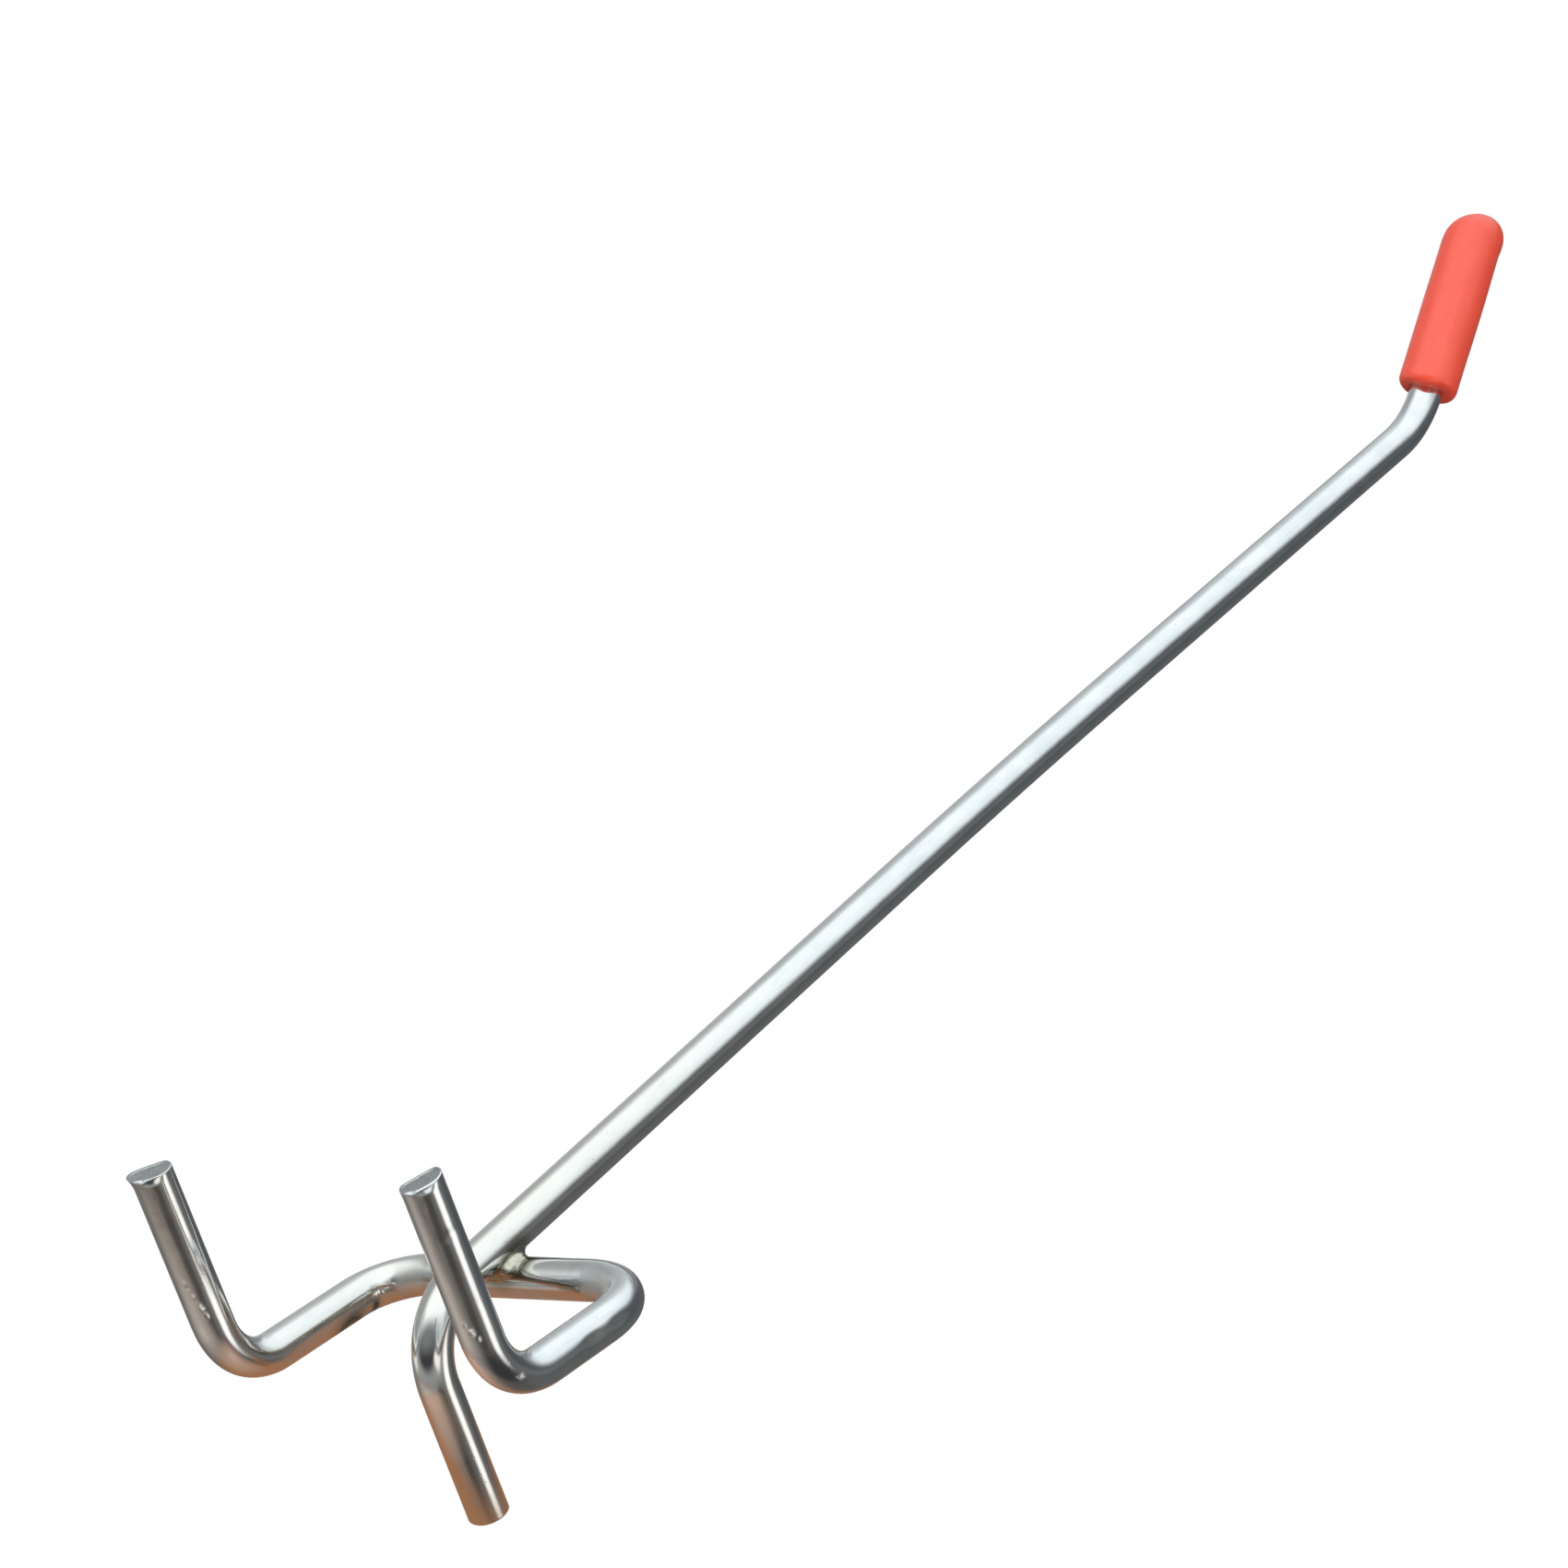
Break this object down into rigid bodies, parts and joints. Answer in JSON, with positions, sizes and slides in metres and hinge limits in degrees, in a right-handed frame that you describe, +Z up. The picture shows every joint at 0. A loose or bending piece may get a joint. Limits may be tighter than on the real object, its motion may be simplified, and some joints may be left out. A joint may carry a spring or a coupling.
{
  "type": "pegboard hook",
  "caption": "Straight wire pegboard hook: long arm with an upturned, capped tip, welded to a cross bar whose bent legs end in upright pegs that lock behind the board.",
  "frame": {"origin": "midway between the two legs, on their axes, in the plane of the board's front face, which is the rear side of the drop leg", "axes": "+Y out of the board along the arm, +Z up the board along the pegs, +X along the cross bar to the right seen from behind the board"},
  "size_m": [0.0283, 0.1789, 0.0319],
  "materials": {
    "wire": "bright plated, fine tool marks at the bends",
    "weld": "plated over, straw tinted, lumpy",
    "cap": "soft vinyl, satin"
  },
  "bodies": {
    "root": {"arm_wire": "wire", "peg_wire": "wire", "weld_bead": "weld", "tip_cap": "cap"}
  },
  "joints": []
}
